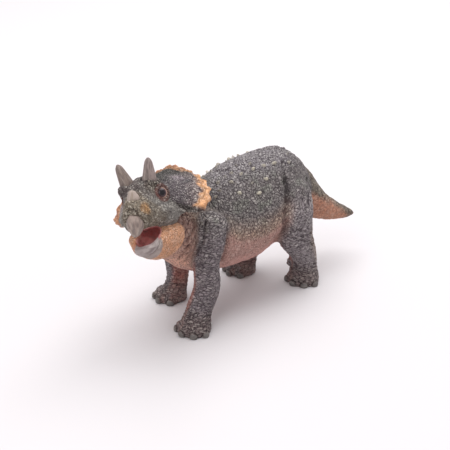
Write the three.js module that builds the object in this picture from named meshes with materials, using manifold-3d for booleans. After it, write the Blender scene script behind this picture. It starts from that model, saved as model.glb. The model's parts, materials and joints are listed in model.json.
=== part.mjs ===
// A toy figure of a young horned dinosaur, walking, with its head turned to its left and its mouth open.
// It is a glued assembly of solid mouldings: limbs, tail and head parts are keyed onto one another.
// Millimetres. +X is the animal's left, -Y is ahead of it, +Z is up, and it stands on z = 0.
import * as THREE from "three";
import { mergeVertices } from "three/addons/utils/BufferGeometryUtils.js";
import Module from "manifold-3d";

const wasm = await Module();
wasm.setup();

// Fits: the gap left at every seam, how far a cutter runs past what it cuts, and when points are one.
const seam = { gap: 0.3, overrun: 30, weld: 0.001 };

// The trunk, from the neck's plug behind the head to the rump.
const trunk = { length: 81, neckReach: 39, width: 37, backHeight: 57.5, bellyHeight: 14 };
const trunkTaperShare = 0.25;
const trunkMiddleShare = 0.45;

// Rows: share along the trunk, the shares of its depth at which the underside and the back lie, its
// half width as a share of the width, and how far it swings to the left as a share of the width.
const trunkShares = [
  [0.0, 0.68, 0.8, 0.1, 0.04],
  [0.03, 0.58, 0.845, 0.16, 0.035],
  [0.1, 0.35, 0.845, 0.25, 0.02],
  [0.18, 0.19, 0.8, 0.33, 0.0],
  [0.26, 0.085, 0.81, 0.395, 0.0],
  [0.34, 0.05, 0.855, 0.44, 0.0],
  [0.43, 0.038, 0.91, 0.475, 0.0],
  [0.53, 0.035, 0.96, 0.5, 0.0],
  [0.63, 0.075, 0.985, 0.49, 0.0],
  [0.73, 0.165, 1.0, 0.44, 0.0],
  [0.81, 0.25, 0.97, 0.375, 0.0],
  [0.9, 0.32, 0.83, 0.29, 0.0],
  [0.965, 0.35, 0.71, 0.21, 0.0],
  [1.0, 0.44, 0.62, 0.07, 0.0],
];
const trunkFacets = { rings: 28, sides: 26 };

// The tail droops and swings to the left. Rows: share along it, sideways share of its swing, share of
// its droop, then its half width and half depth as shares of its root thickness.
const tail = { length: 34.6, root: 20, swing: 5.6, droop: 23, seatShare: 0.9 };
const tailShares = [
  [-0.16, 0.0, -0.1, 0.3, 0.34],
  [0.0, 0.03, 0.0, 0.41, 0.48],
  [0.18, 0.16, 0.27, 0.35, 0.43],
  [0.38, 0.38, 0.52, 0.27, 0.3],
  [0.6, 0.62, 0.72, 0.19, 0.205],
  [0.8, 0.82, 0.85, 0.14, 0.145],
  [0.94, 0.95, 0.915, 0.095, 0.095],
  [1.0, 1.0, 0.935, 0.03, 0.03],
];
const tailFacets = { rings: 14, sides: 16 };

// Legs hang from hips on the trunk's flanks. Rows: share down the leg, bend backwards and outwards as
// shares of the hip's height, then half width, depth behind and depth ahead as shares of the thickness.
const foreLeg = { thickness: 11, hipAlongShare: 0.27, hipHeightShare: 0.7, hipOutShare: 0.74 };
const hindLeg = { thickness: 11, hipAlongShare: 0.79, hipHeightShare: 0.72, hipOutShare: 0.76 };
const leftForeShares = [
  [-0.05, 0.0, -0.06, 0.3, 0.5, 0.5],
  [0.02, -0.02, 0.0, 0.46, 0.62, 0.62],
  [0.13, -0.055, 0.03, 0.49, 0.52, 0.56],
  [0.3, -0.06, 0.035, 0.45, 0.46, 0.47],
  [0.46, -0.02, 0.03, 0.44, 0.46, 0.45],
  [0.58, 0.03, 0.025, 0.46, 0.5, 0.45],
  [0.7, 0.02, 0.015, 0.45, 0.47, 0.44],
  [0.82, 0.0, 0.005, 0.43, 0.42, 0.44],
  [0.91, 0.0, 0.0, 0.51, 0.5, 0.52],
  [0.97, 0.0, 0.0, 0.56, 0.54, 0.56],
  [1.04, 0.0, 0.0, 0.54, 0.52, 0.54],
];
const rightForeShares = [
  [-0.05, 0.0, -0.06, 0.3, 0.5, 0.5],
  [0.02, 0.0, 0.0, 0.46, 0.62, 0.62],
  [0.13, 0.02, 0.03, 0.49, 0.52, 0.56],
  [0.3, 0.045, 0.035, 0.45, 0.46, 0.47],
  [0.46, 0.06, 0.03, 0.44, 0.46, 0.45],
  [0.58, 0.06, 0.025, 0.46, 0.5, 0.45],
  [0.7, 0.075, 0.015, 0.44, 0.44, 0.4],
  [0.82, 0.05, 0.005, 0.42, 0.4, 0.4],
  [0.91, 0.015, 0.0, 0.5, 0.48, 0.5],
  [0.97, 0.0, 0.0, 0.56, 0.54, 0.56],
  [1.04, 0.0, 0.0, 0.54, 0.52, 0.54],
];
const leftHindShares = [
  [-0.05, 0.0, -0.06, 0.3, 0.6, 0.6],
  [0.02, 0.0, 0.0, 0.5, 0.68, 0.8],
  [0.14, -0.02, 0.04, 0.58, 0.66, 0.94],
  [0.28, -0.045, 0.06, 0.58, 0.55, 0.96],
  [0.44, -0.075, 0.06, 0.53, 0.56, 0.86],
  [0.57, -0.06, 0.045, 0.49, 0.68, 0.52],
  [0.67, -0.01, 0.025, 0.47, 0.64, 0.42],
  [0.78, 0.01, 0.01, 0.47, 0.55, 0.43],
  [0.88, 0.005, 0.0, 0.5, 0.53, 0.47],
  [0.96, 0.0, 0.0, 0.58, 0.57, 0.57],
  [1.04, 0.0, 0.0, 0.56, 0.55, 0.55],
];
const rightHindShares = [
  [-0.05, 0.0, -0.06, 0.3, 0.6, 0.6],
  [0.02, 0.0, 0.0, 0.5, 0.76, 0.8],
  [0.14, -0.02, 0.04, 0.58, 0.76, 0.94],
  [0.28, -0.03, 0.06, 0.58, 0.72, 0.92],
  [0.44, -0.03, 0.06, 0.52, 0.66, 0.82],
  [0.57, 0.01, 0.045, 0.48, 0.62, 0.62],
  [0.67, 0.045, 0.025, 0.46, 0.54, 0.5],
  [0.78, 0.045, 0.01, 0.44, 0.47, 0.44],
  [0.88, 0.015, 0.0, 0.47, 0.47, 0.46],
  [0.96, 0.0, 0.0, 0.56, 0.53, 0.56],
  [1.04, 0.0, 0.0, 0.54, 0.51, 0.54],
];
const legFacets = { rings: 16, sides: 14 };

// Where each sole stands: its distance out from the middle, and its step back from its own hip.
const leftForeSole = { outward: 12.9, backward: -12.6 };
const rightForeSole = { outward: 13.3, backward: -0.6 };
const leftHindSole = { outward: 12.4, backward: 6.2 };
const rightHindSole = { outward: 11.6, backward: -5.8 };
const stance = [
  { name: "leg_front_left", leg: foreLeg, shares: leftForeShares, side: 1, sole: leftForeSole },
  { name: "leg_front_right", leg: foreLeg, shares: rightForeShares, side: -1, sole: rightForeSole },
  { name: "leg_rear_left", leg: hindLeg, shares: leftHindShares, side: 1, sole: leftHindSole },
  { name: "leg_rear_right", leg: hindLeg, shares: rightHindShares, side: -1, sole: rightHindSole },
];

// Toes fan out round the front of each sole, in degrees outwards, and every toe carries a blunt nail.
const toe = { reach: 4.7, halfWidth: 2.65, halfLength: 3, halfHeight: 3.2, above: 1 };
const nail = { reach: 6.75, halfWidth: 1.6, halfLength: 1.2, halfHeight: 1.9, above: 0.9 };
const toeDegrees = [-42, 2, 44, 84];
// A blunt dewclaw on the inner front of each hind ankle, at a share of the way down the leg.
const dewclaw = { downShare: 0.79, degrees: -44, reach: 4.9, halfWidth: 1.3, halfLength: 1.7, halfHeight: 2.5 };

const toeFacets = 8;

// Hexagonal spigots key the limbs and the tail into the trunk, so that they can't turn.
// Each runs this deep into the trunk, and its core this far into the moulding that it belongs to.
const spigot = { radius: 3, depth: 5, coreShare: 0.42, corners: 6 };
const tailSpigot = { depth: 8, core: 2 };

// The head is modelled in a frame of its own, whose origin is midway between the brow horns.
const head = { aheadOfNeck: 8.1, left: 3.7, aboveBack: 5.2 };
const headDegrees = { turn: 27, lift: 25, tilt: 19.5 };

// Rows: share from snout to nape, then, as shares of the skull's depth, how far below the brow the
// widest line lies, its half width as a share of the width, and its rise and drop as shares of depth.
const skull = { length: 32, width: 20, depth: 20, snoutReach: 14 };
const skullShares = [
  [0.0, -0.75, 0.11, 0.125, 0.1],
  [0.05, -0.7, 0.18, 0.25, 0.18],
  [0.125, -0.675, 0.24, 0.35, 0.215],
  [0.25, -0.65, 0.28, 0.465, 0.25],
  [0.375, -0.615, 0.34, 0.625, 0.28],
  [0.5, -0.6, 0.4, 0.69, 0.27],
  [0.625, -0.575, 0.46, 0.68, 0.24],
  [0.75, -0.55, 0.46, 0.635, 0.22],
  [0.875, -0.525, 0.41, 0.54, 0.22],
  [1.0, -0.5, 0.2, 0.3, 0.2],
];
const skullFacets = { rings: 18, sides: 22 };
const bumpFacets = { round: 14, spike: 8, ball: 10, ballRings: 7, lid: 12, lidRings: 5 };
const browRidge = { halfWidth: 3.3, halfLength: 5.5, halfHeight: 3, left: -0.5, out: 4.5, back: 1.4, below: 2.2 };
const cheek = { halfWidth: 5, halfLength: 9, halfHeight: 4.4, left: 0, out: 5.6, back: 4.5, below: 12.2 };
const cheekSpike = { radius: 2.8, length: 7, out: 9.4, back: 7.6, below: 12.4, splay: 108 };
const eye = { radius: 2.3, lidRadius: 2.5, lidThickness: 0.75, out: 6.4, back: 1.4, below: 5.4, facing: 52 };
const browHorn = { length: 10.9, root: 2.65, left: -0.5, out: 4.3, sunk: 2.8, splay: 12.5, rake: 14 };
const noseHorn = { length: 4.4, root: 2.4, ahead: 11.2, sunk: 8.2, rake: 16 };
const hornShares = [
  [0.0, 0.88],
  [0.22, 1.0],
  [0.45, 0.86],
  [0.66, 0.7],
  [0.84, 0.55],
  [0.95, 0.38],
  [1.0, 0.16],
];
const hornFacets = { rings: 8, sides: 12 };

// The upper beak hangs over the snout's tip. Rows: share down it, how far ahead its middle lies as a
// share of its depth, its half width as a share of the width, and its depth behind and ahead.
const upperBeak = { height: 10.4, width: 5.9, depth: 5, reach: 11.8, below: 10 };
const upperBeakShares = [
  [0.0, 0.0, 0.14, 0.2, 0.2],
  [0.1, 0.0, 0.29, 0.4, 0.42],
  [0.32, 0.0, 0.42, 0.55, 0.68],
  [0.56, 0.03, 0.5, 0.55, 0.77],
  [0.74, 0.16, 0.44, 0.5, 0.64],
  [0.88, 0.39, 0.26, 0.32, 0.38],
  [1.0, 0.63, 0.05, 0.07, 0.07],
];
const beakFacets = { rings: 11, sides: 14 };

// The lower jaw hangs open and carries the throat. Its rows are read as the skull's are.
const jaw = { length: 29, width: 20, depth: 14, tipReach: 10.6, tipBelow: 25.2 };
// The lower beak is the jaw's tip. It ends at a seam that leans ahead as it goes down, and that runs
// through a point this far behind the tip and this high over it.
const lowerBeak = { length: 6.4, height: 2.7 };
const beakSeamDegrees = 33;
const jawShares = [
  [0.0, 0.0, 0.06, 0.05, 0.06],
  [0.03, 0.01, 0.13, 0.085, 0.13],
  [0.09, 0.04, 0.185, 0.1, 0.16],
  [0.18, 0.1, 0.25, 0.15, 0.24],
  [0.28, 0.19, 0.31, 0.2, 0.37],
  [0.37, 0.27, 0.36, 0.24, 0.47],
  [0.5, 0.36, 0.42, 0.28, 0.57],
  [0.64, 0.44, 0.49, 0.3, 0.61],
  [0.78, 0.49, 0.46, 0.28, 0.56],
  [0.92, 0.52, 0.34, 0.2, 0.4],
  [1.0, 0.53, 0.15, 0.1, 0.2],
];
const jawFacets = { rings: 17, sides: 18 };
// The mouth starts this far behind the jaw's tip and this high over its underside.
const mouth = { length: 18, width: 9, depth: 10, behindTip: 1.2, aboveChin: 2.9 };
const mouthShares = [
  [0.0, 0.0, 0.16, 0.1, 0.16],
  [0.08, 0.07, 0.29, 0.28, 0.34],
  [0.22, 0.17, 0.41, 0.36, 0.5],
  [0.39, 0.27, 0.49, 0.36, 0.56],
  [0.58, 0.33, 0.49, 0.31, 0.54],
  [0.8, 0.35, 0.38, 0.22, 0.4],
  [1.0, 0.35, 0.1, 0.07, 0.08],
];
const mouthFacets = { rings: 10, sides: 14 };
const tongue = { halfWidth: 2.7, halfLength: 6.5, halfHeight: 1.7, back: -0.4, below: 24.3 };

// The frill is a shell round the nape. Rows down one side of its rim: share round it, then how far
// out, up and back it lies as shares of the half width, the rise and the sweep.
const frill = { halfWidth: 19.1, rise: 20, sweep: 26, left: 1.2, thickness: 2.6, rimThickness: 1.2, dish: 1 };
const frillShares = [
  [0.0, 0.0, 0.325, 1.0],
  [0.13, 0.2, 0.345, 1.0],
  [0.24, 0.36, 0.28, 0.99],
  [0.36, 0.54, 0.175, 0.96],
  [0.46, 0.67, 0.08, 0.92],
  [0.56, 0.8, -0.03, 0.87],
  [0.67, 0.93, -0.2, 0.79],
  [0.76, 0.99, -0.35, 0.71],
  [0.84, 1.0, -0.49, 0.62],
  [0.91, 0.94, -0.62, 0.54],
  [0.97, 0.8, -0.69, 0.48],
  [1.0, 0.66, -0.66, 0.44],
];
// Where the shell springs from the skull: an arc just under its skin, as shares of the same sizes.
const frillSeatShares = { halfWidth: 0.4, height: 0.36, middle: -0.34, back: 0.2, arc: 0.66 };
// The right side hangs lower at the crown, by this drop, and is drawn up a little towards its foot.
const frillDroop = { drop: 1.7, fromShare: -0.1, toShare: 0.2, turnShare: 1.4 };
const scallops = { height: 1.6, perSide: 9 };
const frillFacets = { steps: 72, across: 3 };

// Paints, as broad colours.
const paint = {
  hide: { color: 0x5d6660, roughness: 0.75 },
  horn: { color: 0x8a7f7b, roughness: 0.55 },
  collar: { color: 0x9a7350, roughness: 0.7 },
  throat: { color: 0xb07a4c, roughness: 0.7 },
};

const radians = THREE.MathUtils.degToRad;

// One row of a table of shares, read at any share on a smooth curve through the rows.
function rowAt(rows, share) {
  let i = 1;
  while (i < rows.length - 1 && rows[i][0] < share) i++;
  const [before, from, to, after] = [rows[Math.max(i - 2, 0)], rows[i - 1], rows[i], rows[i + 1] ?? rows[i]];
  const reach = to[0] - from[0];
  const t = THREE.MathUtils.clamp((share - from[0]) / reach, 0, 1);
  const slope = (a, b, column) => ((b[column] - a[column]) / (b[0] - a[0])) * reach;
  return from.map((value, column) => {
    const rise = to[column] - value;
    const leave = slope(before, to, column);
    const arrive = slope(from, after, column);
    return value + t * (leave + t * (3 * rise - 2 * leave - arrive + t * (leave + arrive - 2 * rise)));
  });
}

// A closed body over a list of rings with equally many points, fanned shut at both ends.
function bodyOver(rings) {
  const sides = rings[0].length;
  const points = rings.flat();
  const faces = [];
  for (let r = 0; r + 1 < rings.length; r++)
    for (let s = 0; s < sides; s++) {
      const here = r * sides + s;
      const beside = r * sides + ((s + 1) % sides);
      faces.push(here, here + sides, beside, beside, here + sides, beside + sides);
    }
  for (const first of [0, (rings.length - 1) * sides]) {
    const ring = points.slice(first, first + sides);
    const middle = ring.reduce((sum, point) => sum.addScaledVector(point, 1 / sides), new THREE.Vector3());
    points.push(middle);
    for (let s = 0; s < sides; s++) {
      const pair = [first + s, first + ((s + 1) % sides)];
      if (first > 0) pair.reverse();
      faces.push(points.length - 1, ...pair);
    }
  }
  const geometry = new THREE.BufferGeometry().setFromPoints(points);
  geometry.setIndex(faces);
  return geometry;
}

// How far to either side of a ring the centre line is read for its direction, as a share of a ring's step.
const nudgeShare = 0.125;

// An oval form along a smooth centre line. place(share) gives a ring's centre, its half width and how
// far it reaches to either side of that line. taper narrows its upper half, and grow thickens it.
function ovalForm(place, [from, to], { rings, sides }, grow = 0) {
  const across = new THREE.Vector3(1, 0, 0);
  const nudge = (nudgeShare * (to - from)) / rings;
  const ringAt = (_, r) => {
    const share = THREE.MathUtils.lerp(from, to, r / rings);
    const { centre, half, over, under, taper = 0 } = place(share);
    const ahead = place(Math.min(share + nudge, to)).centre;
    const along = ahead.sub(place(Math.max(share - nudge, from)).centre).normalize();
    const side = across.clone().addScaledVector(along, -across.dot(along)).normalize();
    const up = side.clone().cross(along);
    const atEnd = (r === rings ? grow : 0) - (r === 0 ? grow : 0);
    return Array.from({ length: sides }, (unused, s) => {
      const angle = (2 * Math.PI * s) / sides;
      const rise = Math.sin(angle) * ((Math.sin(angle) > 0 ? over : under) + grow);
      const reach = Math.cos(angle) * (half * (1 - taper * Math.max(Math.sin(angle), 0)) + grow);
      const point = centre.clone().addScaledVector(along, atEnd);
      return point.addScaledVector(side, reach).addScaledVector(up, rise);
    });
  };
  return bodyOver(Array.from({ length: rings + 1 }, ringAt));
}
const spanOf = (rows) => [rows[0][0], rows.at(-1)[0]];

// A geometry as a solid for joining and cutting, and back.
function solid(geometry) {
  const bare = geometry.index ? geometry.toNonIndexed() : geometry.clone();
  bare.deleteAttribute("normal");
  bare.deleteAttribute("uv");
  const { attributes, index } = mergeVertices(bare, seam.weld);
  const triVerts = new Uint32Array(index.array);
  return new wasm.Manifold(new wasm.Mesh({ numProp: 3, vertProperties: attributes.position.array, triVerts }));
}
function geometryOf(body) {
  const { vertProperties, triVerts, numProp } = body.getMesh();
  const geometry = new THREE.BufferGeometry();
  geometry.setAttribute("position", new THREE.BufferAttribute(vertProperties, numProp));
  geometry.setIndex(new THREE.BufferAttribute(triVerts, 1));
  geometry.computeVertexNormals();
  return geometry;
}
const joined = (...bodies) => bodies.reduce((whole, body) => whole.add(body));
const cutBy = (body, ...cutters) => cutters.reduce((left, cutter) => left.subtract(cutter), body);

// An ellipsoid with its poles along Z.
function ellipsoid({ halfWidth, halfLength, halfHeight }, around, grow = 0) {
  const ball = new THREE.SphereGeometry(1, around, Math.ceil(around / 2) + 1).rotateX(Math.PI / 2);
  return ball.scale(halfWidth + grow, halfLength + grow, halfHeight + grow);
}

// The trunk's ring at a share of its length.
function trunkPlace(share) {
  const [, low, high, wide, swing] = rowAt(trunkShares, share);
  const bottom = THREE.MathUtils.lerp(trunk.bellyHeight, trunk.backHeight, low);
  const top = THREE.MathUtils.lerp(trunk.bellyHeight, trunk.backHeight, high);
  const middle = THREE.MathUtils.lerp(bottom, top, trunkMiddleShare);
  const centre = new THREE.Vector3(swing * trunk.width, share * trunk.length - trunk.neckReach, middle);
  const half = wide * trunk.width;
  return { centre, half, over: top - middle, under: middle - bottom, taper: trunkTaperShare };
}
const trunkForm = (grow) => ovalForm(trunkPlace, spanOf(trunkShares), trunkFacets, grow);
const trunkCutter = solid(trunkForm(seam.gap));

// The tail's ring: its line bends sideways and down from the seat on the rump.
function tailPlace(share) {
  const [, aside, down, half, over] = rowAt(tailShares, share);
  const { centre } = trunkPlace(tail.seatShare);
  centre.add(new THREE.Vector3(aside * tail.swing, share * tail.length, -down * tail.droop));
  return { centre, half: half * tail.root, over: over * tail.root, under: over * tail.root };
}

// A leg's hip on the flank, its sole, and its ring between them.
function hipOf({ leg, side }) {
  const { centre, half } = trunkPlace(leg.hipAlongShare);
  return new THREE.Vector3(side * leg.hipOutShare * half, centre.y, leg.hipHeightShare * trunk.backHeight);
}
function soleOf(place) {
  const { outward, backward } = place.sole;
  return new THREE.Vector3(place.side * outward, hipOf(place).y + backward, 0);
}
function legPlace(place, share) {
  const [, back, out, half, over, under] = rowAt(place.shares, share);
  const hip = hipOf(place);
  const centre = hip.clone().lerp(soleOf(place), share);
  centre.add(new THREE.Vector3(place.side * out * hip.z, back * hip.z, 0));
  const { thickness } = place.leg;
  return { centre, half: half * thickness, over: over * thickness, under: under * thickness };
}

// A hexagonal rod from one point to another.
function rod(from, to, grow = 0) {
  const along = to.clone().sub(from);
  const length = along.length() + 2 * grow;
  const turn = new THREE.Quaternion().setFromUnitVectors(new THREE.Vector3(0, 1, 0), along.normalize());
  const middle = from.clone().lerp(to, 0.5);
  const radius = spigot.radius + grow;
  const bar = new THREE.CylinderGeometry(radius, radius, length, spigot.corners).applyQuaternion(turn);
  return solid(bar.translate(middle.x, middle.y, middle.z));
}
function limbRod(place, grow = 0) {
  const hip = hipOf(place);
  const inner = new THREE.Vector3(hip.x - place.side * spigot.depth, hip.y, hip.z);
  const core = spigot.coreShare * place.leg.thickness;
  const outer = new THREE.Vector3(hip.x + place.side * core, hip.y, hip.z);
  return rod(inner, outer, grow);
}
function tailRod(grow = 0) {
  const { centre } = trunkPlace(1);
  const inner = centre.clone().add(new THREE.Vector3(0, -tailSpigot.depth, 0));
  const outer = centre.clone().add(new THREE.Vector3(0, tailSpigot.core, 0));
  return rod(inner, outer, grow);
}

// Toes and nails round the front of a sole.
function toesOf(place) {
  const sole = soleOf(place);
  return toeDegrees.flatMap((degrees) => {
    const turn = radians(place.side * degrees);
    return [toe, nail].map((form) =>
      solid(
        ellipsoid(form, toeFacets)
          .rotateZ(turn)
          .translate(sole.x + Math.sin(turn) * form.reach, sole.y - Math.cos(turn) * form.reach, form.above),
      ),
    );
  });
}

function dewclawOf(place) {
  const turn = radians(place.side * dewclaw.degrees);
  const { x, y, z } = legPlace(place, dewclaw.downShare).centre;
  const claw = ellipsoid(dewclaw, toeFacets).rotateZ(turn);
  return solid(claw.translate(x + Math.sin(turn) * dewclaw.reach, y - Math.cos(turn) * dewclaw.reach, z));
}

// Everything under the soles.
const ground = solid(
  new THREE.BoxGeometry(2 * trunk.length, 2 * trunk.length, seam.overrun).translate(0, 0, -seam.overrun / 2),
);
function legBody(place) {
  const limb = solid(ovalForm((share) => legPlace(place, share), spanOf(place.shares), legFacets));
  const claws = place.leg === hindLeg ? [dewclawOf(place)] : [];
  const outside = cutBy(joined(limb, ...toesOf(place), ...claws), ground, trunkCutter);
  return outside.add(limbRod(place));
}
function tailBody() {
  const form = solid(ovalForm(tailPlace, spanOf(tailShares), tailFacets));
  return cutBy(form, trunkCutter).add(tailRod());
}
function trunkBody() {
  const sockets = stance.map((place) => limbRod(place, seam.gap));
  return cutBy(solid(trunkForm()), ...sockets, tailRod(seam.gap));
}

// The head's own frame, and the trunk as seen in it.
const { turn, lift, tilt } = headDegrees;
const headTurn = new THREE.Euler(radians(-lift), radians(-tilt), radians(turn), "ZXY");
const headFrame = new THREE.Matrix4()
  .makeRotationFromEuler(headTurn)
  .setPosition(head.left, -trunk.neckReach - head.aheadOfNeck, trunk.backHeight + head.aboveBack);
const trunkInHead = solid(trunkForm(seam.gap).applyMatrix4(headFrame.clone().invert()));

// A form along the head: its rows give level, half width, rise and drop as shares of its sizes.
function headForm(rows, size, start, level, facets, grow = 0) {
  const place = (share) => {
    const [, up, half, over, under] = rowAt(rows, share);
    const centre = new THREE.Vector3(0, share * size.length - start, up * size.depth - level);
    return { centre, half: half * size.width, over: over * size.depth, under: under * size.depth };
  };
  return solid(ovalForm(place, spanOf(rows), facets, grow));
}
const bothSides = (make) => [1, -1].map(make);

function skullForm(grow = 0) {
  const spike = (side) => {
    const cone = new THREE.ConeGeometry(cheekSpike.radius + grow, cheekSpike.length + grow, bumpFacets.spike);
    cone.rotateX(Math.PI / 2).rotateY(side * radians(cheekSpike.splay));
    return solid(cone.translate(side * cheekSpike.out, cheekSpike.back, -cheekSpike.below));
  };
  const bump = (form) => (side) =>
    solid(ellipsoid(form, bumpFacets.round, grow).translate(form.left + side * form.out, form.back, -form.below));
  const core = headForm(skullShares, skull, skull.snoutReach, 0, skullFacets, grow);
  const bumps = [bump(browRidge), bump(cheek), spike].flatMap(bothSides);
  return joined(core, ...bumps, ...bothSides((side) => eyeForm(side, grow)));
}

// An eyeball with a ring of lid round it.
function eyeForm(side, grow) {
  const ball = new THREE.SphereGeometry(eye.radius + grow, bumpFacets.ball, bumpFacets.ballRings);
  const { lidRings, lid: lidSteps } = bumpFacets;
  const lid = new THREE.TorusGeometry(eye.lidRadius, eye.lidThickness + grow, lidRings, lidSteps);
  lid.translate(0, 0, eye.lidThickness).rotateX(Math.PI / 2).rotateZ(side * radians(eye.facing));
  const both = [ball, lid].map((form) => solid(form.translate(side * eye.out, eye.back, -eye.below)));
  return joined(...both);
}

// A horn stands on its root, leaning ahead by its rake.
function hornForm(size, grow) {
  const place = (share) => {
    const half = rowAt(hornShares, share)[1] * size.root;
    return { centre: new THREE.Vector3(0, 0, share * size.length - size.sunk), half, over: half, under: half };
  };
  return ovalForm(place, spanOf(hornShares), hornFacets, grow).rotateX(radians(size.rake));
}
function browHornForm(side, grow = 0) {
  const { left, out, splay } = browHorn;
  return solid(hornForm(browHorn, grow).rotateY(radians(side * splay)).translate(left + side * out, 0, 0));
}
const noseHornForm = (grow = 0) => solid(hornForm(noseHorn, grow).translate(0, -noseHorn.ahead, 0));

function upperBeakForm(grow = 0) {
  const place = (share) => {
    const [, ahead, half, behind, front] = rowAt(upperBeakShares, share);
    const { height, width, depth, reach, below } = upperBeak;
    const centre = new THREE.Vector3(0, -reach - ahead * depth, -below - share * height);
    return { centre, half: half * width, over: behind * depth, under: front * depth };
  };
  return solid(ovalForm(place, spanOf(upperBeakShares), beakFacets, grow));
}
const jawForm = (grow) => headForm(jawShares, jaw, jaw.tipReach, jaw.tipBelow, jawFacets, grow);
const mouthReach = jaw.tipReach - mouth.behindTip;
const mouthBelow = jaw.tipBelow - mouth.aboveChin;
const mouthForm = headForm(mouthShares, mouth, mouthReach, mouthBelow, mouthFacets);

// The frill's shell: round the rim, one section after another runs out along its face and back behind.
function frillForm() {
  const { halfWidth, rise, sweep, left, thickness, rimThickness, dish } = frill;
  const seat = frillSeatShares;
  const sectionAt = (_, i) => {
    const round = THREE.MathUtils.lerp(-1, 1, i / frillFacets.steps);
    const share = Math.abs(round);
    const [, out, up, back] = rowAt(frillShares, share);
    const angle = round * Math.PI * seat.arc;
    const root = new THREE.Vector3(
      Math.sin(angle) * seat.halfWidth * halfWidth,
      seat.back * sweep,
      (Math.cos(angle) * seat.height + seat.middle) * rise,
    );
    const onRight = THREE.MathUtils.smoothstep(-round, frillDroop.fromShare, frillDroop.toShare);
    const droop = frillDroop.drop * onRight * Math.cos((Math.PI * share) / frillDroop.turnShare);
    const rim = new THREE.Vector3(Math.sign(round) * out * halfWidth + left, back * sweep, up * rise - droop);
    const outward = rim.clone().sub(root).normalize();
    rim.addScaledVector(outward, -scallops.height * Math.abs(Math.cos(share * scallops.perSide * Math.PI)));
    const onward = new THREE.Vector3(Math.cos(angle), 0, -Math.sin(angle));
    const ahead = onward.cross(outward).normalize();
    const line = (turned) => (unused, j) => {
      const t = j / frillFacets.across;
      const wall = (turned * THREE.MathUtils.lerp(thickness, rimThickness, t)) / 2;
      return root.clone().lerp(rim, t).addScaledVector(ahead, wall - dish * Math.sin(Math.PI * t));
    };
    const count = { length: frillFacets.across + 1 };
    return [...Array.from(count, line(1)), ...Array.from(count, line(-1)).reverse()];
  };
  return solid(bodyOver(Array.from({ length: frillFacets.steps + 1 }, sectionAt)));
}

// Everything on one side of the seam between the lower beak and the jaw; ahead is 1 or -1.
function jawSide(ahead) {
  const reach = 2 * jaw.length;
  const half = new THREE.BoxGeometry(reach, reach, reach).translate(0, (-ahead * (reach + seam.gap)) / 2, 0);
  half.rotateX(-radians(beakSeamDegrees));
  return solid(half.translate(0, lowerBeak.length - jaw.tipReach, lowerBeak.height - jaw.tipBelow));
}

function headPieces() {
  const grownSkull = skullForm(seam.gap);
  const grownHorns = bothSides((side) => browHornForm(side, seam.gap));
  const grownBeak = upperBeakForm(seam.gap);
  const skullBody = cutBy(skullForm(), ...grownHorns, noseHornForm(seam.gap), grownBeak, mouthForm, trunkInHead);
  const tongueBody = solid(ellipsoid(tongue, bumpFacets.round).translate(0, tongue.back, -tongue.below));
  const jawBody = cutBy(jawForm(), mouthForm).add(tongueBody);
  const jawWhole = cutBy(jawBody, grownSkull, grownBeak, trunkInHead);
  const frillBody = cutBy(frillForm(), grownSkull, jawForm(seam.gap), trunkInHead, ...grownHorns);
  return [
    ["head", skullBody, paint.hide],
    ["frill", frillBody, paint.collar],
    ["lower_jaw", jawWhole.intersect(jawSide(-1)), paint.throat],
    ["lower_beak", jawWhole.intersect(jawSide(1)), paint.horn],
    ["upper_beak", upperBeakForm(), paint.horn],
    ["brow_horn_left", browHornForm(1), paint.horn],
    ["brow_horn_right", browHornForm(-1), paint.horn],
    ["nose_horn", noseHornForm(), paint.horn],
  ];
}

function meshOf(name, body, finish) {
  const mesh = new THREE.Mesh(geometryOf(body), new THREE.MeshStandardMaterial({ metalness: 0, ...finish }));
  mesh.name = name;
  return mesh;
}

const figure = new THREE.Group();
figure.add(meshOf("torso", trunkBody(), paint.hide));
figure.add(meshOf("tail", tailBody(), paint.hide));
for (const place of stance) figure.add(meshOf(place.name, legBody(place), paint.hide));

const headGroup = new THREE.Group();
headGroup.applyMatrix4(headFrame);
for (const piece of headPieces()) headGroup.add(meshOf(...piece));
figure.add(headGroup);

// The origin goes under the middle of the whole figure's box.
const { x: middleX, y: middleY } = new THREE.Box3().setFromObject(figure, true).getCenter(new THREE.Vector3());
figure.position.set(-middleX, -middleY, 0);

export default figure;
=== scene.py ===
import json
import math

import bpy
import numpy as np
from mathutils import Euler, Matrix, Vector


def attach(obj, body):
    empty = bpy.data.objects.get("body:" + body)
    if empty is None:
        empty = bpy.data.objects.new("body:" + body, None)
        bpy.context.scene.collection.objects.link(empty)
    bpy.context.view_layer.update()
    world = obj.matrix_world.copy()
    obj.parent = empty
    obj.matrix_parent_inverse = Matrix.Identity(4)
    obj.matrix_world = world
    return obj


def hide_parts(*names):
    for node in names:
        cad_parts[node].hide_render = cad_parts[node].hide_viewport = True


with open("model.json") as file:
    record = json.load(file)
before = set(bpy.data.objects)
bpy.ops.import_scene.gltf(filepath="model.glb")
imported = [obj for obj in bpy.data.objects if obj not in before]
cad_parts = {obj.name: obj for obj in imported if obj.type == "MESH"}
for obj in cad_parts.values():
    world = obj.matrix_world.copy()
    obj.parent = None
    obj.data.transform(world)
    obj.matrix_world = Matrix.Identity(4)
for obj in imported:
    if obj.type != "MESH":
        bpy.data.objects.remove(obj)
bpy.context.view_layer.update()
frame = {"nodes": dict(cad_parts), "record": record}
mm = 0.001
limbNodes = ["leg_front_left", "leg_front_right", "leg_rear_left", "leg_rear_right"]
skinNodes = ["torso", "tail", *limbNodes, "head", "frill", "lower_jaw"]


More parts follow.
